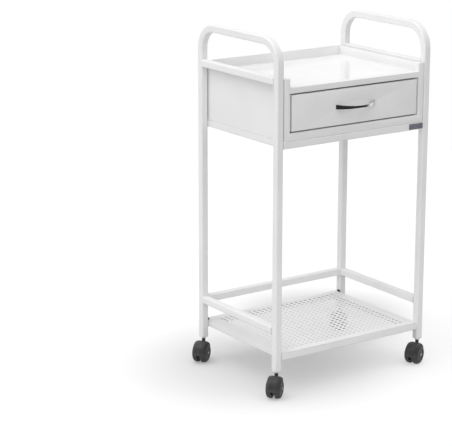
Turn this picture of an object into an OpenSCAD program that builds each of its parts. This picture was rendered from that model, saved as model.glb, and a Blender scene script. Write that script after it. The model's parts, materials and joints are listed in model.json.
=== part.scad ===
// Microwave cart: two bent tube side frames, a sheet steel cabinet with a tray top
// and one drawer, a perforated shelf with a guard rail, and four twin-wheel casters.
// The front is -Y. The origin is on the floor, in the middle of the cart's overall width and
// depth, casters included. The casters trail to the front left, so the legs stand off it.

/* [Cart] */
// Width over the two side frames
cart_w = 457; // [440:1:500]
// Depth over the front and rear legs
cart_d = 332; // [320:1:360]
// Height of the handles
cart_h = 861.5; // [850:0.5:920]
// How far the middle between the legs stands to the right of the origin
middle_x = 14.5; // [10:0.5:18]
// How far the middle between the legs stands behind the origin
middle_y = 11; // [7:0.5:15]

/* [Tube] */
// Side of the square tube
tube = 18; // [17:0.5:19]
// Corner radius of the tube
tube_r = 3; // [2:0.5:4]
// Wall of the tube
tube_wall = 1.2; // [1:0.1:1.5]
// Bend radius of the side frames, to the tube's middle
bend_r = 55; // [45:1:60]
// Height of the leg ends
foot_z = 62; // [61.5:0.1:62.5]

/* [Rails and shelf] */
// Top of the upper side rails
upper_rail_z = 771.5; // [770:0.5:776]
// Top of the guard rails round the shelf
guard_z = 170.5; // [158:0.5:194]
// Top of the perforated shelf sheet
shelf_z = 106.5; // [98:0.5:118]
// Thickness of the perforated sheet
shelf_t = 0.7; // [0.6:0.1:1]
// Hole diameter in the shelf sheet
hole_d = 7.5; // [6:0.5:8]
// Hole spacing across the shelf
pitch_x = 14.7; // [14:0.1:15]
// Hole spacing along the shelf's depth
pitch_y = 13.3; // [13:0.1:13.5]
// Gap between a side frame's legs and what stands between them
side_gap = 2; // [1.5:0.5:2.5]

/* [Cabinet] */
// Underside of the cabinet, on top of its cross tubes
cabinet_z = 621.5; // [619:0.5:624]
// Top of the stiles beside the drawer
stile_top_z = 767.5; // [766.5:0.5:769]
// Top of the rail above the drawer
top_rail_z = 746.5; // [745:0.5:747.5]
// Top edge of the tray's walls
tray_top_z = 765.5; // [764.5:0.5:766]
// Upper face of the tray's floor
tray_floor_z = 741.5; // [740:0.5:742.5]
// Thickness of the sheet steel
sheet = 1; // [0.8:0.1:1.2]
// Width of a stile
stile_w = 16; // [14:1:18]
// Depth of the folded front frame
front_fold = 16; // [14:1:18]
// Height of the bottom rail
bottom_rail_h = 18; // [16:1:19]
// Height of the drawer opening
opening_h = 93; // [91:1:93]

/* [Drawer] */
// Gap beside the drawer front
drawer_side_gap = 5.5; // [4:0.5:7]
// Gap above and below the drawer front
drawer_edge_gap = 4; // [3:0.5:5]
// Depth of the folded drawer front
drawer_fold = 14; // [12:1:15]
// Width of the drawer box
drawer_box_w = 350; // [346:1:352]
// Length of the drawer box
drawer_box_l = 286; // [270:1:290]
// Height of the drawer box
drawer_box_h = 67; // [60:1:68]

/* [Handle] */
// Length of the bow handle
handle_l = 119; // [110:1:130]
// How far the bow stands out
handle_out = 26; // [22:1:30]
// Height of the bow at its feet
handle_foot_h = 14; // [13:1:18]
// Height of the bow at its waist
handle_waist_h = 6.5; // [6:0.5:9]
// Spacing of the handle screws
handle_screw_x = 90; // [86:1:92]

/* [Casters] */
// Wheel diameter
wheel_d = 50; // [48:1:50]
// Width of one wheel
wheel_w = 14; // [13:0.5:14.5]
// Rounding of a wheel's outer edge
wheel_edge = 9; // [8:0.5:9]
// Gap between the two wheels
between_wheels = 14; // [13:0.5:14.5]
// Distance from the swivel axis to the axle
trail = 17; // [16:0.5:18]
// Outer radius of the hood
hood_r = 29; // [29:0.5:30]
// Diameter of the stem
stem_d = 7; // [6:0.5:7]
// Diameter of the axle
axle_d = 6; // [5:0.5:7]
// Radial clearance of a shaft that turns in its bore
running = 0.05; // [0.03:0.01:0.08]

/* [Hidden] */
$fn = 48;
touch = 0.01;                           // makes a cut run clear through a face

// Everything below is measured from the middle between the legs, and moved by MIDDLE when drawn
MIDDLE = [middle_x, middle_y, 0];
front_y = -cart_d / 2;                  // front faces of the front legs
rear_y = cart_d / 2;                    // rear faces of the rear legs
leg_x = (cart_w - tube) / 2;            // middle of a side frame
leg_front_y = front_y + tube / 2;
leg_rear_y = rear_y - tube / 2;
leg_inner_x = cart_w / 2 - tube;        // inner faces of the legs
inner_x = leg_inner_x - side_gap;       // half width of what stands between the frames

cross_z = cabinet_z - tube / 2;         // middle height of the tubes under the cabinet
shelf_tube_z = shelf_z - shelf_t - tube / 2;
guard_tube_z = guard_z - tube / 2;
bearer_x = inner_x - tube / 2;
hole_nx = 25;                           // holes across the shelf
hole_ny = 22;                           // holes along its depth
spacer_l = 2.5;                         // gap at the front end of a side guard rail
clip_l = 10;                            // depth of a shelf clip
clip_rise = 4.5;                        // how far a shelf clip stands above the sheet

open_x = inner_x - stile_w;             // half width of the drawer opening
open_z = cabinet_z + bottom_rail_h;
panel_top_z = tray_top_z - 2 * sheet;   // the tray's hem lies on the side panels
tray_front_y = front_y + front_fold;
screw_y = 112;                          // screws through the cabinet's floor
screw_d = 4;
screw_l = 10;
screw_head_h = 2.2;
screw_play = 0.2;                       // how much wider than the screw its hole is
plate_w = 42;
plate_h = 14;

runner_h = 24;
runner_w = 12;
runner_t = 1.2;
runner_z = cabinet_z + 40;
runner_x = open_x;
slide_t = 1.2;
slide_z = runner_z + 11;
slide_x = open_x - 4;                   // outer edge of the drawer's sliding flange
slide_web_h = 16;                       // height of the slide's web on the drawer's side
slide_glide_l = 24;
runner_glide_l = 22;
glide_clear = 0.3;

drawer_x = open_x - drawer_side_gap;
drawer_z = open_z + drawer_edge_gap;
drawer_h = opening_h - 2 * drawer_edge_gap;
drawer_lip = 16;
box_z = drawer_z + 5;
box_y = front_y + drawer_fold;
handle_z = open_z + opening_h / 2;
handle_t = 3;
bow_r = (pow(handle_l / 2, 2) + pow(handle_out, 2)) / (2 * handle_out);
waist_cut = (handle_foot_h - handle_waist_h) / 2;
waist_r = (pow(handle_l / 2, 2) + pow(waist_cut, 2)) / (2 * waist_cut);
handle_boss_h = 9;                      // bosses between the bow's feet and the drawer front
handle_bore_h = 7;
handle_screw_l = 6;                     // in front of the drawer front's sheet

wheel_r = wheel_d / 2;
wheel_in = between_wheels / 2;          // inner face of a wheel, from the caster's middle
wheel_out = wheel_in + wheel_w;
wheel_bore_end = 1.8;                   // closed outer end of a wheel's bore
wheel_recess = 1.2;                     // ring-shaped recess in a wheel's outer face
recess_in_r = 7;
recess_out_r = 14.5;
wheel_clear = 1.2;                      // between a wheel and the hood over it
axle_l = 2 * (wheel_out - 2);
web_w = 8;                              // middle web of the hood
web_r = 18;
axle_boss_d = 12;
axle_boss_w = between_wheels - 0.6;
hood_w = 43;                            // width the hood's rounding starts from
hood_edge = 14;                         // rounding of the hood across its width
hood_lip_x = 15.5;                      // where the hood ends beside the wheels
hood_low_z = 23.5;                      // lower edge of the hood
hood_stem_z = 36;                       // the hood's lower edge on the stem's side
boss_d = 11.5;
boss_z = 34;
boss_top_z = 48;
neck_d = 9;
cap_h = 3.5;                            // tapered end of a socket, below the leg
cap_z = foot_z - cap_h;
cap_d = 11;
neck_top_z = cap_z - 1.2;
collar_top_z = cap_z - 0.3;
socket_l = 35;
socket_bore_l = 36;
stem_bottom_z = 37;
stem_top_z = cap_z + 34;

// Side of the cart, end of the cart, and how far each caster has swivelled
CASTERS = [
    ["front_left", -1, leg_front_y, -49],
    ["rear_left", -1, leg_rear_y, -53],
    ["front_right", 1, leg_front_y, -62],
    ["rear_right", 1, leg_rear_y, -55]
];

white_paint = "#f2f2f0";
gloss_white = "#fbfbfa";
black_nylon = "#2b2b2d";
milky_nylon = "#dcdad2";
bright_steel = "#c9ccd0";

// ---- Building blocks ----

module box_between(x0, x1, y0, y1, z0, z1)
    translate([x0, y0, z0])
        cube([x1 - x0, y1 - y0, z1 - z0]);

module rounded_square(side, r) {
    square([side - 2 * r, side], center = true);
    square([side, side - 2 * r], center = true);
    for (sx = [-1, 1], sy = [-1, 1])
        translate([sx * (side / 2 - r), sy * (side / 2 - r)])
            circle(r = r);
}

// A straight square tube along +Z, centred on the axis
module tube_bar(length)
    difference() {
        linear_extrude(length)
            rounded_square(tube, tube_r);
        translate([0, 0, -touch])
            linear_extrude(length + 2 * touch)
                rounded_square(tube - 2 * tube_wall, tube_r - tube_wall);
    }

module tube_x(x0, x1, y, z)
    translate([x0, y, z])
        rotate([0, 90, 0])
            tube_bar(x1 - x0);

module tube_y(x, y0, y1, z)
    translate([x, y0, z])
        rotate([-90, 0, 0])
            tube_bar(y1 - y0);

// ---- Side frames: front leg, bend, handle, bend and rear leg in one tube ----

// The bent bar lies in the plane of X and Y here, with X along the cart's depth
module bent_bar(side, r, below) {
    bend_y = cart_h - tube / 2 - bend_r;
    for (leg_y = [leg_front_y, leg_rear_y])
        translate([leg_y, foot_z - below, 0])
            rotate([-90, 0, 0])
                linear_extrude(bend_y - foot_z + below)
                    rounded_square(side, r);
    translate([leg_front_y + bend_r, bend_y, 0])
        rotate([0, 0, 90])
            rotate_extrude(angle = 90)
                translate([bend_r, 0])
                    rounded_square(side, r);
    translate([leg_rear_y - bend_r, bend_y, 0])
        rotate_extrude(angle = 90)
            translate([bend_r, 0])
                rounded_square(side, r);
    translate([leg_front_y + bend_r, cart_h - tube / 2, 0])
        rotate([0, 90, 0])
            linear_extrude(leg_rear_y - leg_front_y - 2 * bend_r)
                rounded_square(side, r);
}

module side_frame(side)
    color(white_paint)
        translate([side * leg_x, 0, 0])
            rotate([90, 0, 90])
                difference() {
                    bent_bar(tube, tube_r, 0);
                    bent_bar(tube - 2 * tube_wall, tube_r - tube_wall, touch);
                }

// ---- Rails, cross tubes and bearers ----

module upper_rail(side)
    color(white_paint)
        tube_y(side * leg_x, front_y + tube, rear_y - tube, upper_rail_z - tube / 2);

module cross_tube(y, z)
    color(white_paint)
        tube_x(-leg_inner_x, leg_inner_x, y, z);

module side_tube(side, z)
    color(white_paint)
        tube_y(side * bearer_x, front_y + tube, rear_y - tube, z);

module bearer_tube(side)
    difference() {
        side_tube(side, cross_z);
        for (end = [-1, 1])
            translate([side * bearer_x, end * screw_y, cabinet_z - tube / 2])
                cylinder(d = screw_d + screw_play, h = tube);
    }

module side_guard_rail(side)
    color(white_paint)
        tube_y(side * leg_x, front_y + tube + spacer_l, rear_y - tube, guard_tube_z);

// ---- Shelf ----

module shelf_sheet()
    color(white_paint)
        translate([0, 0, shelf_z - shelf_t])
            linear_extrude(shelf_t)
                difference() {
                    square([2 * inner_x, cart_d], center = true);
                    for (i = [0:hole_nx - 1], j = [0:hole_ny - 1])
                        translate([(i - (hole_nx - 1) / 2) * pitch_x, (j - (hole_ny - 1) / 2) * pitch_y])
                            circle(d = hole_d, $fn = 24);
                }

module shelf_clips()
    color(black_nylon)
        for (side = [-1, 1])
            translate([side * (inner_x + side_gap / 2), rear_y - tube + clip_l / 2, shelf_z + clip_rise / 2])
                cube([side_gap, clip_l, clip_rise], center = true);

module rail_spacers()
    color(black_nylon)
        for (side = [-1, 1])
            translate([side * (leg_inner_x + tube / 4), front_y + tube + spacer_l / 2, guard_tube_z])
                cube([tube / 2, spacer_l, tube - 2 * tube_r + 2], center = true);

// ---- Cabinet ----

// Folded sheet: hollow, with its back open only below the tray
module front_frame() {
    back_open_z = tray_floor_z - 3 * sheet;
    stile_mid = open_x + stile_w / 2;
    in_y0 = front_y + sheet;
    in_y1 = tray_front_y - sheet;
    out_y = tray_front_y + sheet;
    color(white_paint)
        difference() {
            union() {
                for (side = [-1, 1])
                    translate([side * stile_mid, front_y + front_fold / 2, (cabinet_z + stile_top_z) / 2])
                        cube([stile_w, front_fold, stile_top_z - cabinet_z], center = true);
                box_between(-open_x, open_x, front_y, tray_front_y, cabinet_z, open_z);
                box_between(-open_x, open_x, front_y, tray_front_y, open_z + opening_h, top_rail_z);
            }
            for (side = [-1, 1]) {
                x0 = side * stile_mid - stile_w / 2 + sheet;
                x1 = side * stile_mid + stile_w / 2 - sheet;
                box_between(x0, x1, in_y0, in_y1, cabinet_z + sheet, stile_top_z - sheet);
                box_between(x0, x1, in_y0, out_y, cabinet_z + sheet, back_open_z);
            }
            box_between(-open_x - 2 * sheet, open_x + 2 * sheet, in_y0, out_y,
                        cabinet_z + sheet, open_z - sheet);
            box_between(-open_x - 2 * sheet, open_x + 2 * sheet, in_y0, in_y1,
                        open_z + opening_h + sheet, top_rail_z - sheet);
            box_between(-open_x - 2 * sheet, open_x + 2 * sheet, in_y0, out_y,
                        open_z + opening_h + sheet, back_open_z);
        }
}

module side_panel(side)
    color(white_paint)
        translate([side * (inner_x - sheet / 2), (tray_front_y + rear_y) / 2, (cabinet_z + panel_top_z) / 2])
            cube([sheet, rear_y - tray_front_y, panel_top_z - cabinet_z], center = true);

module back_panel()
    color(white_paint)
        box_between(-inner_x + sheet, inner_x - sheet, rear_y - sheet, rear_y, cabinet_z, panel_top_z);

module cabinet_floor()
    color(white_paint)
        difference() {
            box_between(-inner_x + sheet, inner_x - sheet, tray_front_y, rear_y - sheet,
                        cabinet_z, cabinet_z + sheet);
            for (side = [-1, 1], end = [-1, 1])
                translate([side * bearer_x, end * screw_y, cabinet_z - touch])
                    cylinder(d = screw_d + screw_play, h = sheet + 2 * touch);
        }

module cabinet_screws()
    color(bright_steel)
        for (side = [-1, 1], end = [-1, 1])
            translate([side * bearer_x, end * screw_y, cabinet_z + sheet]) {
                cylinder(d = 2 * screw_d, h = screw_head_h);
                translate([0, 0, -screw_l])
                    cylinder(d = screw_d, h = screw_l);
            }

// The tray: a floor, three walls, and a hem that lies on the panels' top edges
module tray() {
    in_x = inner_x - sheet;
    in_y = rear_y - sheet;
    color(gloss_white)
        difference() {
            union() {
                box_between(-in_x, in_x, tray_front_y, in_y, tray_floor_z - sheet, panel_top_z);
                box_between(-inner_x, inner_x, tray_front_y, rear_y, panel_top_z, tray_top_z);
            }
            box_between(-in_x + sheet, in_x - sheet, tray_front_y - touch, in_y - sheet, tray_floor_z, cart_h);
        }
}

module blank_plate()
    color(black_nylon)
        box_between(inner_x - plate_w, inner_x, front_y - sheet, front_y, cross_z - plate_h / 2,
                    cross_z + plate_h / 2);

// ---- Drawer runners and glides ----

module runner(side)
    color(bright_steel)
        mirror([side < 0 ? 1 : 0, 0, 0]) {
            box_between(runner_x - runner_t, runner_x, tray_front_y, rear_y - sheet, runner_z, runner_z + runner_h);
            box_between(runner_x - runner_w, runner_x - runner_t, tray_front_y, rear_y - sheet,
                        runner_z, runner_z + runner_t);
            box_between(runner_x - runner_w, runner_x - runner_t, tray_front_y, rear_y - sheet,
                        runner_z + runner_h - runner_t, runner_z + runner_h);
        }

// Pads fixed in the runners' mouths, above and below the sliding flange
module runner_glides()
    color(black_nylon)
        for (side = [-1, 1])
            mirror([side < 0 ? 1 : 0, 0, 0]) {
                box_between(runner_x - runner_w, runner_x - runner_t, tray_front_y, tray_front_y + runner_glide_l,
                            runner_z + runner_t, slide_z - glide_clear);
                box_between(runner_x - runner_w, runner_x - runner_t, tray_front_y, tray_front_y + runner_glide_l,
                            slide_z + slide_t + glide_clear, runner_z + runner_h - runner_t);
            }

module drawer_slides()
    color(bright_steel)
        for (side = [-1, 1])
            mirror([side < 0 ? 1 : 0, 0, 0]) {
                box_between(drawer_box_w / 2, drawer_box_w / 2 + slide_t, box_y + 2, box_y + drawer_box_l,
                            slide_z - slide_web_h / 2, slide_z + slide_web_h / 2);
                box_between(drawer_box_w / 2 + slide_t, slide_x, box_y + 2, box_y + drawer_box_l,
                            slide_z, slide_z + slide_t);
            }

// Blocks on the rear ends of the drawer's flanges, inside the runners
module slide_glides()
    color(black_nylon)
        for (side = [-1, 1])
            mirror([side < 0 ? 1 : 0, 0, 0])
                difference() {
                    box_between(runner_x - runner_w + 0.5, runner_x - runner_t - glide_clear,
                                box_y + drawer_box_l - slide_glide_l, box_y + drawer_box_l,
                                runner_z + runner_t + glide_clear, runner_z + runner_h - runner_t - glide_clear);
                    box_between(0, slide_x, box_y, rear_y, slide_z, slide_z + slide_t);
                }

// ---- Drawer ----

module drawer_front()
    color(white_paint)
        difference() {
            box_between(-drawer_x, drawer_x, front_y, box_y, drawer_z, drawer_z + drawer_h);
            box_between(-drawer_x + sheet, drawer_x - sheet, front_y + sheet, box_y - sheet,
                        drawer_z + sheet, drawer_z + drawer_h - sheet);
            box_between(-drawer_x + drawer_lip, drawer_x - drawer_lip, box_y - 2 * sheet, box_y + sheet,
                        drawer_z + drawer_lip, drawer_z + drawer_h - drawer_lip);
            for (side = [-1, 1])
                translate([side * handle_screw_x / 2, front_y - touch, handle_z])
                    rotate([-90, 0, 0])
                        cylinder(d = screw_d + 2 * screw_play, h = sheet + 2 * touch);
        }

module drawer_box()
    color(white_paint)
        difference() {
            box_between(-drawer_box_w / 2, drawer_box_w / 2, box_y, box_y + drawer_box_l,
                        box_z, box_z + drawer_box_h);
            box_between(-drawer_box_w / 2 + sheet, drawer_box_w / 2 - sheet, box_y + sheet,
                        box_y + drawer_box_l - sheet, box_z + sheet, box_z + drawer_box_h + sheet);
        }

// A flat strap bowed outwards, waisted in the middle, on two short bosses
module drawer_handle()
    color(bright_steel)
        difference() {
            union() {
                intersection() {
                    translate([0, front_y - handle_out + bow_r, handle_z - handle_foot_h / 2])
                        difference() {
                            cylinder(r = bow_r, h = handle_foot_h, $fn = 96);
                            translate([0, 0, -touch])
                                cylinder(r = bow_r - handle_t, h = handle_foot_h + 2 * touch, $fn = 96);
                        }
                    difference() {
                        box_between(-handle_l / 2, handle_l / 2, front_y - handle_out - 1, front_y,
                                    handle_z - handle_foot_h / 2, handle_z + handle_foot_h / 2);
                        for (end = [-1, 1])
                            translate([0, front_y + 1, handle_z + end * (handle_waist_h / 2 + waist_r)])
                                rotate([90, 0, 0])
                                    cylinder(r = waist_r, h = handle_out + 3, $fn = 192);
                    }
                }
                for (side = [-1, 1])
                    translate([side * handle_screw_x / 2, front_y, handle_z])
                        rotate([90, 0, 0])
                            cylinder(d = 2 * screw_d, h = handle_boss_h);
            }
            for (side = [-1, 1])
                translate([side * handle_screw_x / 2, front_y + touch, handle_z])
                    rotate([90, 0, 0])
                        cylinder(d = screw_d, h = handle_bore_h);
        }

module handle_screws()
    color(bright_steel)
        for (side = [-1, 1])
            translate([side * handle_screw_x / 2, front_y + sheet, handle_z])
                rotate([90, 0, 0]) {
                    cylinder(d = screw_d, h = sheet + handle_screw_l);
                    translate([0, 0, -screw_head_h])
                        cylinder(d = 2 * screw_d, h = screw_head_h);
                }

// ---- Casters: each is drawn about its swivel axis, trailing to -Y before it is swivelled ----

module at_leg(c)
    translate([c[1] * leg_x, c[2], 0])
        children();

module at_caster(c)
    at_leg(c)
        rotate([0, 0, c[3]])
            children();

// About the axle, with +Z along it
module at_axle()
    translate([0, -trail, wheel_r])
        rotate([0, 90, 0])
            children();

// A plug in the leg's end, with a tapered end below the leg
module socket()
    color(milky_nylon)
        difference() {
            union() {
                translate([0, 0, foot_z])
                    linear_extrude(socket_l)
                        rounded_square(tube - 2 * tube_wall, tube_r - tube_wall);
                translate([0, 0, cap_z])
                    cylinder(d1 = cap_d, d2 = tube - 0.6, h = cap_h);
            }
            translate([0, 0, cap_z - touch])
                cylinder(r = stem_d / 2 + running, h = socket_bore_l + touch);
        }

module stem()
    color(bright_steel) {
        translate([0, 0, stem_bottom_z])
            cylinder(d = stem_d, h = stem_top_z - stem_bottom_z);
        translate([0, 0, neck_top_z])
            cylinder(d = neck_d, h = collar_top_z - neck_top_z);
    }

// The hood's outer shape, round its own middle
module hood_form()
    intersection() {
        rotate_extrude($fn = 96) {
            translate([0, -hood_w / 2])
                square([hood_r - hood_edge, hood_w]);
            translate([0, hood_edge - hood_w / 2])
                square([hood_r, hood_w - 2 * hood_edge]);
            for (end = [-1, 1])
                translate([hood_r - hood_edge, end * (hood_w / 2 - hood_edge)])
                    circle(r = hood_edge, $fn = 64);
        }
        cylinder(r = hood_r + 1, h = 2 * hood_lip_x, center = true);
    }

// Room for a wheel in the hood, outwards of the web
module wheel_room()
    intersection() {
        rotate_extrude($fn = 96) {
            square([wheel_r + wheel_clear, wheel_out - wheel_edge]);
            square([wheel_r - wheel_edge, wheel_out + wheel_clear]);
            translate([wheel_r - wheel_edge, wheel_out - wheel_edge])
                circle(r = wheel_edge + wheel_clear, $fn = 64);
        }
        translate([0, 0, web_w / 2])
            cylinder(r = hood_r + 1, h = hood_w);
    }

module hood()
    color(black_nylon)
        difference() {
            union() {
                difference() {
                    at_axle()
                        hood_form();
                    for (turn = [0, 180])
                        at_axle()
                            rotate([turn, 0, 0])
                                wheel_room();
                    translate([0, -trail, hood_low_z - hood_r])
                        cube([2 * hood_r, 3 * hood_r, 2 * hood_r], center = true);
                    translate([0, hood_r - trail / 2, hood_stem_z - hood_r])
                        cube([2 * hood_r, 2 * hood_r, 2 * hood_r], center = true);
                }
                at_axle()
                    cylinder(r = web_r, h = web_w, center = true);
                at_axle()
                    cylinder(d = axle_boss_d, h = axle_boss_w, center = true);
                translate([0, 0, boss_z])
                    cylinder(d = boss_d, h = boss_top_z - boss_z);
                translate([0, 0, boss_z])
                    cylinder(d = neck_d, h = neck_top_z - boss_z);
            }
            translate([0, 0, stem_bottom_z])
                cylinder(d = stem_d, h = foot_z - stem_bottom_z);
            at_axle()
                cylinder(d = axle_d, h = hood_w, center = true);
        }

module axle()
    color(bright_steel)
        at_axle()
            cylinder(d = axle_d, h = axle_l, center = true);

// A wheel whose inner face is at z = 0
module wheel_body()
    difference() {
        intersection() {
            rotate_extrude($fn = 96) {
                square([wheel_r - wheel_edge, wheel_w]);
                square([wheel_r, wheel_w - wheel_edge]);
                translate([wheel_r - wheel_edge, wheel_w - wheel_edge])
                    circle(r = wheel_edge, $fn = 64);
            }
            cylinder(r = wheel_r + 1, h = wheel_w + 1);
        }
        translate([0, 0, -touch])
            cylinder(r = axle_d / 2 + running, h = wheel_w - wheel_bore_end + touch);
        translate([0, 0, wheel_w - wheel_recess])
            difference() {
                cylinder(r = recess_out_r, h = 2 * wheel_recess);
                cylinder(r = recess_in_r, h = 2 * wheel_recess);
            }
    }

module wheel(side)
    color(black_nylon)
        translate([side * wheel_in, -trail, wheel_r])
            rotate([0, side * 90, 0])
                wheel_body();

// ---- What is drawn ----

translate(MIDDLE) side_frame(-1);  // left_side_frame
translate(MIDDLE) side_frame(1);  // right_side_frame
translate(MIDDLE) upper_rail(-1);  // left_upper_rail
translate(MIDDLE) upper_rail(1);  // right_upper_rail
translate(MIDDLE) cross_tube(leg_front_y, cross_z);  // front_cross_tube
translate(MIDDLE) cross_tube(leg_rear_y, cross_z);  // rear_cross_tube
translate(MIDDLE) bearer_tube(-1);  // left_bearer_tube
translate(MIDDLE) bearer_tube(1);  // right_bearer_tube
translate(MIDDLE) cross_tube(leg_front_y, shelf_tube_z);  // shelf_front_tube
translate(MIDDLE) cross_tube(leg_rear_y, shelf_tube_z);  // shelf_rear_tube
translate(MIDDLE) side_tube(-1, shelf_tube_z);  // shelf_left_tube
translate(MIDDLE) side_tube(1, shelf_tube_z);  // shelf_right_tube
translate(MIDDLE) shelf_sheet();
translate(MIDDLE) shelf_clips();
translate(MIDDLE) cross_tube(leg_rear_y, guard_tube_z);  // rear_guard_rail
translate(MIDDLE) side_guard_rail(-1);  // left_guard_rail
translate(MIDDLE) side_guard_rail(1);  // right_guard_rail
translate(MIDDLE) rail_spacers();
translate(MIDDLE) front_frame();
translate(MIDDLE) side_panel(-1);  // left_panel
translate(MIDDLE) side_panel(1);  // right_panel
translate(MIDDLE) back_panel();
translate(MIDDLE) cabinet_floor();
translate(MIDDLE) tray();
translate(MIDDLE) cabinet_screws();
translate(MIDDLE) blank_plate();
translate(MIDDLE) runner(-1);  // left_runner
translate(MIDDLE) runner(1);  // right_runner
translate(MIDDLE) runner_glides();
translate(MIDDLE) drawer_front();
translate(MIDDLE) drawer_box();
translate(MIDDLE) drawer_slides();
translate(MIDDLE) slide_glides();
translate(MIDDLE) drawer_handle();
translate(MIDDLE) handle_screws();
for (c = CASTERS) {
    translate(MIDDLE) at_leg(c) socket();
    translate(MIDDLE) at_caster(c) stem();
    translate(MIDDLE) at_caster(c) hood();
    translate(MIDDLE) at_caster(c) axle();
    translate(MIDDLE) at_caster(c) wheel(-1);
    translate(MIDDLE) at_caster(c) wheel(1);
}
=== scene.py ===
import json
import math

import bmesh
import bpy
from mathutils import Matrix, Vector


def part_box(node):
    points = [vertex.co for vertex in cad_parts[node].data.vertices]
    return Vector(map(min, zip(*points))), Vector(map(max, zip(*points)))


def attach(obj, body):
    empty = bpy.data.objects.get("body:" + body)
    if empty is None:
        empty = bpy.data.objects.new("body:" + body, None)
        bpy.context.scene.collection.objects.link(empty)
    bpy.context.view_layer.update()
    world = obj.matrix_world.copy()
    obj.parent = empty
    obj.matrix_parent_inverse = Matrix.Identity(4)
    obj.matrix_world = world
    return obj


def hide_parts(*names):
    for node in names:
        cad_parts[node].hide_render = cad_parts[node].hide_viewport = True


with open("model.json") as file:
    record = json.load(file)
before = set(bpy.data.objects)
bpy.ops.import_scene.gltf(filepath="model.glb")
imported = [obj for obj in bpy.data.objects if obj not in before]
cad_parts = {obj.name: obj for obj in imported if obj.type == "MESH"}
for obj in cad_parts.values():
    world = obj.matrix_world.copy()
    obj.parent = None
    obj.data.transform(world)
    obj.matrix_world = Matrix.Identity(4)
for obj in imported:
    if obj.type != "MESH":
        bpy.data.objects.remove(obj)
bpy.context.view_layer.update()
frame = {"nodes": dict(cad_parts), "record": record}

nodes = frame["nodes"]
mm = 0.001
bodyOf = {n: b for b, members in frame["record"]["behaviour"]["bodies"].items() for n in members}
slotOf = {s["node"]: s["material_slot"] for s in frame["record"]["subparts"]}
casterNames = ["front_left", "rear_left", "front_right", "rear_right"]
print("frame loaded:", len(nodes), "nodes")


cameraView = {
    "place": (-2.5275, -3.332, 1.485),
    "heading": 34.34,   # degrees from the cart's depth, towards its right
    "down": 15.01,
    "lens": 139.05,
    "sensorWidth": 36,
    "clip": (0.1, 60),
}


def makeCamera():
    data = bpy.data.cameras.new("camera")
    data.lens = cameraView["lens"]
    data.sensor_width = cameraView["sensorWidth"]
    data.clip_start, data.clip_end = cameraView["clip"]
    cam = bpy.data.objects.new("camera", data)
    cam.location = cameraView["place"]
    cam.rotation_euler = (math.radians(90 - cameraView["down"]), 0, math.radians(-cameraView["heading"]))
    bpy.context.scene.collection.objects.link(cam)
    bpy.context.scene.camera = cam


makeCamera()
bpy.context.scene.view_settings.view_transform = "Standard"
print("camera made")


def linear(hexText):
    parts = [int(hexText[i:i + 2], 16) / 255 for i in (1, 3, 5)]
    return tuple(c / 12.92 if c <= 0.04045 else ((c + 0.055) / 1.055) ** 2.4 for c in parts) + (1,)


def addNode(tree, kind, links=None, values=None, **settings):
    node = tree.nodes.new(kind)
    for name, value in settings.items():
        setattr(node, name, value)
    for socket, value in (values or {}).items():
        node.inputs[socket].default_value = value
    for socket, (other, output) in (links or {}).items():
        tree.links.new(other.outputs[output], node.inputs[socket])
    return node


noiseDetail = 2
noiseRange = (0.35, 0.65)   # most of the noise lies between these, so that both ends of a drift show


# Sizes are in metres on the part. Colour and roughness drift between two values, and the grain is a bump.
# Real grains are finer: they are drawn as coarse as they need to be to show in the render
def makeMaterial(name, fixed, colours, drift, roughness, roughDrift, grain, grainHeight, grainStrength):
    material = bpy.data.materials.new(name)
    material.use_nodes = True
    tree = material.node_tree
    tree.nodes.clear()
    place = addNode(tree, "ShaderNodeTexCoord")
    noises = [addNode(tree, "ShaderNodeTexNoise", {"Vector": (place, "Object")},
                      {"Scale": 1 / size, "Detail": noiseDetail}) for size in (drift, roughDrift, grain)]
    shades = [linear(colour) for colour in colours]
    greys = [(value, value, value, 1) for value in roughness]
    links = {}
    for socket, noise, ends in zip(("Base Color", "Roughness"), noises, (shades, greys)):
        ramp = addNode(tree, "ShaderNodeValToRGB", {"Fac": (noise, "Fac")})
        for element, at, colour in zip(ramp.color_ramp.elements, noiseRange, ends):
            element.position = at
            element.color = colour
        links[socket] = (ramp, "Color")
    bump = addNode(tree, "ShaderNodeBump", {"Height": (noises[2], "Fac")},
                   {"Strength": grainStrength, "Distance": grainHeight})
    links["Normal"] = (bump, "Normal")
    shader = addNode(tree, "ShaderNodeBsdfPrincipled", links, fixed)
    addNode(tree, "ShaderNodeOutputMaterial", {"Surface": (shader, "BSDF")})
    return material


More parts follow.
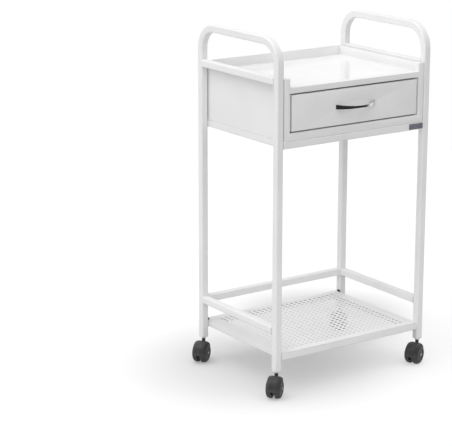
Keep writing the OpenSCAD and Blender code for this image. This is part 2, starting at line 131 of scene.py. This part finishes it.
materials = {
    # Powder-coated steel: an even, slightly cool white with a faint orange peel and a soft sheen
    "white_enamel": makeMaterial(
        "powderCoatedSteel", {"IOR": 1.5}, colours=("#eeedee", "#f2f1f2"), drift=120 * mm,
        roughness=(0.36, 0.46), roughDrift=30 * mm, grain=5 * mm, grainHeight=0.15 * mm, grainStrength=0.12),
    # Glossy stoved enamel on the tray: nearly mirror-like, it shows the tray's walls in its floor
    "gloss_enamel": makeMaterial(
        "stovedEnamel", {"IOR": 1.55}, colours=("#f0efef", "#f3f3f3"), drift=150 * mm,
        roughness=(0.05, 0.10), roughDrift=40 * mm, grain=60 * mm, grainHeight=0.1 * mm, grainStrength=0.08),
    # Polished chrome plate: it takes all its light and dark from the room
    "chrome": makeMaterial(
        "polishedChrome", {"Metallic": 1.0}, colours=("#d8d9da", "#dededf"), drift=40 * mm,
        roughness=(0.04, 0.09), roughDrift=6 * mm, grain=8 * mm, grainHeight=0.02 * mm, grainStrength=0.05),
    # Zinc-plated pressed steel: grey and slightly blue, with a cloudy sheen
    "zinc_steel": makeMaterial(
        "zincPlatedSteel", {"Metallic": 1.0}, colours=("#b9bec4", "#c6c9cd"), drift=15 * mm,
        roughness=(0.28, 0.42), roughDrift=5 * mm, grain=3 * mm, grainHeight=0.05 * mm, grainStrength=0.15),
    # Natural nylon blocks: milky and dull
    "nylon": makeMaterial(
        "naturalNylon", {"IOR": 1.53}, colours=("#d9d7cd", "#e0ded5"), drift=12 * mm,
        roughness=(0.45, 0.55), roughDrift=4 * mm, grain=2 * mm, grainHeight=0.05 * mm, grainStrength=0.1),
    # Moulded black polypropylene push clips: nearly black, with a dull gleam. By the shelf's rear corners
    # they stand in for the shade in the crevice beside the legs: painted shade
    "black_plastic": makeMaterial(
        "blackPolypropyleneAndPaintedShade", {"IOR": 1.49}, colours=("#161618", "#1c1c1e"), drift=10 * mm,
        roughness=(0.38, 0.5), roughDrift=4 * mm, grain=2 * mm, grainHeight=0.05 * mm, grainStrength=0.15),
    # Slate grey polystyrene of the small plate: plain and satin
    "slate_plastic": makeMaterial(
        "slatePolystyrene", {"IOR": 1.59}, colours=("#6f6f79", "#7c7c85"), drift=10 * mm,
        roughness=(0.35, 0.45), roughDrift=4 * mm, grain=2 * mm, grainHeight=0.05 * mm, grainStrength=0.1),
    # Moulded dark grey nylon of the caster hoods: satin, with a fine spark-eroded grain
    "dark_plastic": makeMaterial(
        "mouldedHoodNylon", {"IOR": 1.53}, colours=("#333234", "#3b3a3c"), drift=14 * mm,
        roughness=(0.40, 0.52), roughDrift=6 * mm, grain=1.6 * mm, grainHeight=0.08 * mm, grainStrength=0.25),
    # The same nylon on the wheels, rubbed a little duller by the floor
    "wheel_nylon": makeMaterial(
        "wheelNylon", {"IOR": 1.53}, colours=("#333234", "#3b3a3c"), drift=12 * mm,
        roughness=(0.50, 0.64), roughDrift=6 * mm, grain=1.6 * mm, grainHeight=0.1 * mm, grainStrength=0.3),
}

# The guard rails' spacers are the milky nylon of the sockets, so that they hardly show beside the legs
lookOf = dict(slotOf, rail_spacers="nylon")

for name, node in nodes.items():
    node.data.materials.clear()
    node.data.materials.append(materials[lookOf[name]])
print("materials made")


def addPiece(name, mesh, replaced, sharpAngle=35):
    for polygon in mesh.polygons:
        polygon.use_smooth = True
    mesh.set_sharp_from_angle(angle=math.radians(sharpAngle))
    piece = bpy.data.objects.new(name, mesh)
    bpy.context.scene.collection.objects.link(piece)
    mesh.materials.clear()
    mesh.materials.append(materials[lookOf[replaced]])
    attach(piece, bodyOf[replaced])
    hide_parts(replaced)


rolling = {
    "mergeWithin": 0.01 * mm,
    "flatWithin": 0.5,      # degrees between faces that count as one
    "sharpFrom": 40,        # degrees between faces from which an edge is rolled
    "onFaceWithin": 0.01 * mm,
}


# The shape of a CAD node with its sharp edges rolled, as folded and painted sheet has them.
# Each roll is a test for edges, a radius and a number of segments
def softened(node, name, rolls):
    mesh = nodes[node].data.copy()
    if "custom_normal" in mesh.attributes:
        mesh.attributes.remove(mesh.attributes["custom_normal"])
    form = bmesh.new()
    form.from_mesh(mesh)
    bmesh.ops.remove_doubles(form, verts=form.verts, dist=rolling["mergeWithin"])
    bmesh.ops.dissolve_limit(form, angle_limit=math.radians(rolling["flatWithin"]), verts=form.verts,
                             edges=form.edges)
    for picked, radius, segments in rolls:
        edges = [e for e in form.edges
                 if len(e.link_faces) == 2 and e.calc_face_angle() > math.radians(rolling["sharpFrom"])
                 and picked(e.verts[0].co, e.verts[1].co)]
        bmesh.ops.bevel(form, geom=edges, offset=radius, segments=segments, profile=0.5, affect="EDGES",
                        clamp_overlap=True)
    form.to_mesh(mesh)
    form.free()
    addPiece(name, mesh, node)


# A test for edges that lie on the given faces of a node's box
def onBox(node, faces):
    low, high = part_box(node)
    sides = {"left": (0, low.x), "right": (0, high.x), "front": (1, low.y), "back": (1, high.y),
             "bottom": (2, low.z), "top": (2, high.z)}

    def test(a, b):
        return any(max(abs(a[axis] - at), abs(b[axis] - at)) < rolling["onFaceWithin"]
                   for axis, at in (sides[face] for face in faces))
    return test


def anyEdge(a, b):
    return True


# A white paper sweep under soft light from above, the left and the front, in a room that is dark to the
# front. The paper ends before the camera, so that chrome shows the room there
studio = {
    "paperColour": "#c0c0c0",
    "paperFront": 1.7,               # metres from the cart to the front edge of the paper
    "paperRight": 1.9,
    "paperSize": 9,
    # What the camera sees on top of the paper's lit colour. It grows with the distance from the cart, so the
    # paper is painted darker round the cart: painted shade that deepens its shadow
    "glow": {"middle": (-0.13, 0.045, 0), "from": 0.10, "to": 0.45, "near": 0.27, "far": 0.51},
    # What is taken off it again: a painted shadow of the cart, behind it to the right, which shows through
    # the shelf's holes
    "shade": {"middle": (0.26, 0.29, 0), "from": 0.08, "to": 0.31, "near": 0.34, "far": 0},
    "skyLevel": 0.35,                # the light from all round, and how much more comes from one side
    "skySlope": (-0.51, -0.29, 0.94),
    "roomWay": (-0.2, -0.98, 0),     # the way to the dark room, seen from the cart
    "roomFrom": -0.10,               # how far towards it the light begins to fall, and where it ends
    "roomTo": 0.44,
    "roomLight": 0.035,
    "keyPlace": (-1.5, 0.3, 2.9),
    "keySize": 1.6,
    "keyPower": 10,
    "keyAim": (0.0145, 0.011, 0.5),  # half way up, between the legs
}


# Whether the camera sees a surface itself, in a gloss or through glass
def seenDirectly(tree):
    path = addNode(tree, "ShaderNodeLightPath")
    seen = addNode(tree, "ShaderNodeMath", {0: (path, "Is Camera Ray"), 1: (path, "Is Glossy Ray")},
                   operation="MAXIMUM")
    seen = addNode(tree, "ShaderNodeMath", {0: (seen, "Value"), 1: (path, "Is Transmission Ray")},
                   operation="MAXIMUM")
    return path, seen


def makeWorld():
    world = bpy.data.worlds.new("studio")
    bpy.context.scene.world = world
    world.use_nodes = True
    tree = world.node_tree
    tree.nodes.clear()
    path, seen = seenDirectly(tree)
    way = addNode(tree, "ShaderNodeTexCoord")
    lean = addNode(tree, "ShaderNodeVectorMath", {0: (way, "Generated")}, {1: studio["skySlope"]},
                   operation="DOT_PRODUCT")
    sky = addNode(tree, "ShaderNodeMath", {0: (lean, "Value")}, {1: studio["skyLevel"]}, operation="ADD")
    sky = addNode(tree, "ShaderNodeMath", {0: (sky, "Value")}, {1: 0.0}, operation="MAXIMUM")
    light = addNode(tree, "ShaderNodeBackground", {"Strength": (sky, "Value")}, {"Color": (1, 1, 1, 1)})
    front = addNode(tree, "ShaderNodeVectorMath", {0: (way, "Generated")}, {1: studio["roomWay"]},
                    operation="DOT_PRODUCT")
    room = addNode(tree, "ShaderNodeMapRange", {"Value": (front, "Value")},
                   {"From Min": studio["roomFrom"], "From Max": studio["roomTo"],
                    "To Min": 1.0, "To Max": studio["roomLight"]}, interpolation_type="SMOOTHSTEP")
    room = addNode(tree, "ShaderNodeMath", {0: (room, "Result"), 1: (path, "Is Camera Ray")},
                   operation="MAXIMUM")
    white = addNode(tree, "ShaderNodeBackground", {"Strength": (room, "Value")}, {"Color": (1, 1, 1, 1)})
    mixed = addNode(tree, "ShaderNodeMixShader",
                    {0: (seen, "Value"), 1: (light, "Background"), 2: (white, "Background")})
    addNode(tree, "ShaderNodeOutputWorld", {"Surface": (mixed, "Shader")})


def makePaper():
    mesh = bpy.data.meshes.new("paper")
    size, front, right = studio["paperSize"], -studio["paperFront"], studio["paperRight"]
    corners = [(-size, front, 0), (right, front, 0), (right, size, 0), (-size, size, 0)]
    mesh.from_pydata(corners, [], [(0, 1, 2, 3)])
    paper = bpy.data.objects.new("paper", mesh)
    bpy.context.scene.collection.objects.link(paper)
    material = bpy.data.materials.new("paperSweep")
    material.use_nodes = True
    tree = material.node_tree
    tree.nodes.clear()
    path, seen = seenDirectly(tree)
    place = addNode(tree, "ShaderNodeTexCoord")
    # The glow is lower near the cart and the shade spot is taken off it: painted shade on the paper, for the
    # camera, glosses and glass
    levels = []
    for spot in (studio["glow"], studio["shade"]):
        away = addNode(tree, "ShaderNodeVectorMath", {0: (place, "Object")}, {1: spot["middle"]},
                       operation="DISTANCE")
        level = addNode(tree, "ShaderNodeMapRange", {"Value": (away, "Value")},
                        {"From Min": spot["from"], "From Max": spot["to"],
                         "To Min": spot["near"], "To Max": spot["far"]}, interpolation_type="SMOOTHSTEP")
        levels.append((level, "Result"))
    glow = addNode(tree, "ShaderNodeMath", {0: levels[0], 1: levels[1]}, operation="SUBTRACT")
    glow = addNode(tree, "ShaderNodeMath", {0: (seen, "Value"), 1: (glow, "Value")}, operation="MULTIPLY")
    matt = addNode(tree, "ShaderNodeBsdfDiffuse", None, {"Color": linear(studio["paperColour"])})
    shine = addNode(tree, "ShaderNodeEmission", {"Strength": (glow, "Value")}, {"Color": (1, 1, 1, 1)})
    both = addNode(tree, "ShaderNodeAddShader", {0: (matt, "BSDF"), 1: (shine, "Emission")})
    addNode(tree, "ShaderNodeOutputMaterial", {"Surface": (both, "Shader")})
    mesh.materials.append(material)


def makeKey():
    data = bpy.data.lights.new("keyLight", "AREA")
    data.shape = "DISK"
    data.size = studio["keySize"]
    data.energy = studio["keyPower"]
    lamp = bpy.data.objects.new("keyLight", data)
    lamp.location = studio["keyPlace"]
    aim = Vector(studio["keyAim"]) - lamp.location
    lamp.rotation_euler = aim.to_track_quat("-Z", "Y").to_euler()
    bpy.context.scene.collection.objects.link(lamp)


makeWorld()
makePaper()
makeKey()
print("studio made")


sheetEdges = {
    "sheet": 1 * mm,
    "foldRadius": 1.2 * mm,
    "foldSegments": 3,
    "hemRadius": 0.45 * mm,
    "hemSegments": 2,
    "trayCornerRadius": 3 * mm,
    "trayCornerSegments": 4,
}


# A test for the edges where the tray's floor meets its walls. Its front edge meets none
def trayCorner(a, b):
    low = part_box("tray")[0]
    floor = low.z + sheetEdges["sheet"]
    onFloor = max(abs(a.z - floor), abs(b.z - floor)) < rolling["onFaceWithin"]
    return onFloor and (a.y + b.y) / 2 > low.y + rolling["onFaceWithin"]


folds = (sheetEdges["foldRadius"], sheetEdges["foldSegments"])
softened("front_frame", "frontFrame", [
    (onBox("front_frame", ["front", "left", "right", "top"]), *folds)])
softened("drawer_front", "drawerFace", [
    (onBox("drawer_front", ["front", "left", "right", "top", "bottom"]), *folds)])
softened("tray", "trayPan", [
    (trayCorner, sheetEdges["trayCornerRadius"], sheetEdges["trayCornerSegments"]),
    (onBox("tray", ["top"]), sheetEdges["hemRadius"], sheetEdges["hemSegments"])])
print("cabinet made")


spacer = {
    "cornerRadius": 3 * mm,     # that of the tube
    "cornerSegments": 4,
    "alongFrom": 0.1 * mm,      # an edge with more than this in depth runs along the rail
}


# Nylon plugs between the side guard rails and the front legs, as wide and high as the tube
def makeSpacers():
    form = bmesh.new()
    front, back = (corner.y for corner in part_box("rail_spacers"))
    for rail in ("left_guard_rail", "right_guard_rail"):
        low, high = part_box(rail)
        for vert in bmesh.ops.create_cube(form, size=1)["verts"]:
            vert.co = (high.x if vert.co.x > 0 else low.x, back if vert.co.y > 0 else front,
                       high.z if vert.co.z > 0 else low.z)
    along = [e for e in form.edges if abs(e.verts[0].co.y - e.verts[1].co.y) > spacer["alongFrom"]]
    bmesh.ops.bevel(form, geom=along, offset=spacer["cornerRadius"], segments=spacer["cornerSegments"],
                    profile=0.5, affect="EDGES")
    mesh = bpy.data.meshes.new("guardRailSpacers")
    form.to_mesh(mesh)
    form.free()
    addPiece("guardRailSpacers", mesh, "rail_spacers")


makeSpacers()
print("spacers made")


bow = {
    "thickness": 3.4 * mm,
    "crown": 0.34,        # the nearer to 0, the flatter the outer face
    "edge": 0.30,         # the nearer to 0, the squarer its upper and lower edges
    "waist": 6.5 * mm,
    "foot": 14 * mm,
    "stations": 56,
    "ring": 28,
}


# A power that keeps the sign. Below 1 it makes a circle squarer
def rounded(value, power):
    return math.copysign(abs(value) ** power, value)


# A flat bar on an arc between the handle's feet, lower in its middle than at its feet
def makeBow():
    low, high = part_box("drawer_handle")
    midX, midZ = (low.x + high.x) / 2, (low.z + high.z) / 2
    half, out = (high.x - low.x) / 2, high.y - low.y
    radius = (half ** 2 + out ** 2) / (2 * out)
    spread = math.asin(half / radius)
    stations, ring = bow["stations"], bow["ring"]
    points = []
    for i in range(stations + 1):
        turn = spread * (2 * i / stations - 1)
        reach = abs(math.sin(turn)) * radius / half
        height = bow["waist"] + (bow["foot"] - bow["waist"]) * reach ** 2
        for k in range(ring):
            a = 2 * math.pi * k / ring
            up = rounded(math.cos(a), bow["edge"]) * height / 2
            off = rounded(math.sin(a), bow["crown"]) * bow["thickness"] / 2
            r = radius - bow["thickness"] / 2 + off
            points.append((midX + r * math.sin(turn), high.y - out + radius - r * math.cos(turn), midZ + up))
    faces = [(i * ring + k, i * ring + (k + 1) % ring, (i + 1) * ring + (k + 1) % ring, (i + 1) * ring + k)
             for i in range(stations) for k in range(ring)]
    faces += [tuple(range(ring))[::-1], tuple(range(stations * ring, (stations + 1) * ring))]
    mesh = bpy.data.meshes.new("bowHandle")
    mesh.from_pydata(points, [], faces)
    mesh.update()
    addPiece("bowHandle", mesh, "drawer_handle")


makeBow()
print("handle made")


# Points of the wheel's section are radius and distance from the inner face, in mm
wheel = {
    "segments": 72,
    "middle": 7,            # half the wheel's width
    "innerFace": [(0, 12.2), (3.05, 12.2), (3.05, 0), (8.6, 0), (9.2, 0.7), (20, 0.7), (21, 0)],
    "tread": [(23.8, 0), (24.6, 0.35), (25, 1.2), (25, 5)],
    "shoulderMiddle": (16, 5),      # a quarter round between the tread and the outer face
    "shoulderRadius": 9,
    "shoulderSteps": 6,
    "outerFace": [(15.2, 13.9), (14.4, 13.5), (13.6, 13.2), (8.2, 13.2), (7.4, 13.4), (6.6, 13.45),
                  (0, 13.45)],
    "sharpAngle": 28,
    "mergeWithin": 0.001 * mm,
}


def wheelSection():
    radius, width = wheel["shoulderMiddle"]
    turns = [math.pi / 2 * i / wheel["shoulderSteps"] for i in range(1, wheel["shoulderSteps"] + 1)]
    shoulder = [(radius + wheel["shoulderRadius"] * math.cos(turn),
                 width + wheel["shoulderRadius"] * math.sin(turn)) for turn in turns]
    return wheel["innerFace"] + wheel["tread"] + shoulder + wheel["outerFace"]


# The wheel's outer side points away from the middle of the caster's axle
def makeWheel(name):
    low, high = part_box(name)
    caster = name[:name.index("_wheel")]
    axle = [Vector(v.co) for v in nodes[caster + "_axle"].data.vertices]
    middle = sum(axle, Vector()) / len(axle)
    centre = (low + high) / 2
    centre.z = middle.z
    along = centre - middle
    along.z = 0
    along.normalize()
    start = centre - along * wheel["middle"] * mm
    side = along.cross(Vector((0, 0, 1)))
    form = bmesh.new()
    spun = [form.verts.new(start + along * w * mm + side * r * mm) for r, w in wheelSection()]
    edges = [form.edges.new(pair) for pair in zip(spun, spun[1:])]
    bmesh.ops.spin(form, geom=spun + edges, cent=start, axis=along, angle=2 * math.pi,
                   steps=wheel["segments"], use_merge=True)
    bmesh.ops.remove_doubles(form, verts=form.verts, dist=wheel["mergeWithin"])
    bmesh.ops.recalc_face_normals(form, faces=form.faces)
    mesh = bpy.data.meshes.new(name)
    form.to_mesh(mesh)
    form.free()
    addPiece(name.title().replace("_", "") + "Dished", mesh, name, wheel["sharpAngle"])


hood = {"edgeRadius": 0.5 * mm, "edgeSegments": 2}

for casterName in casterNames:
    makeWheel(casterName + "_wheel_a")
    makeWheel(casterName + "_wheel_b")
    softened(casterName + "_hood", casterName.title().replace("_", "") + "Hood",
             [(anyEdge, hood["edgeRadius"], hood["edgeSegments"])])
print("casters made")
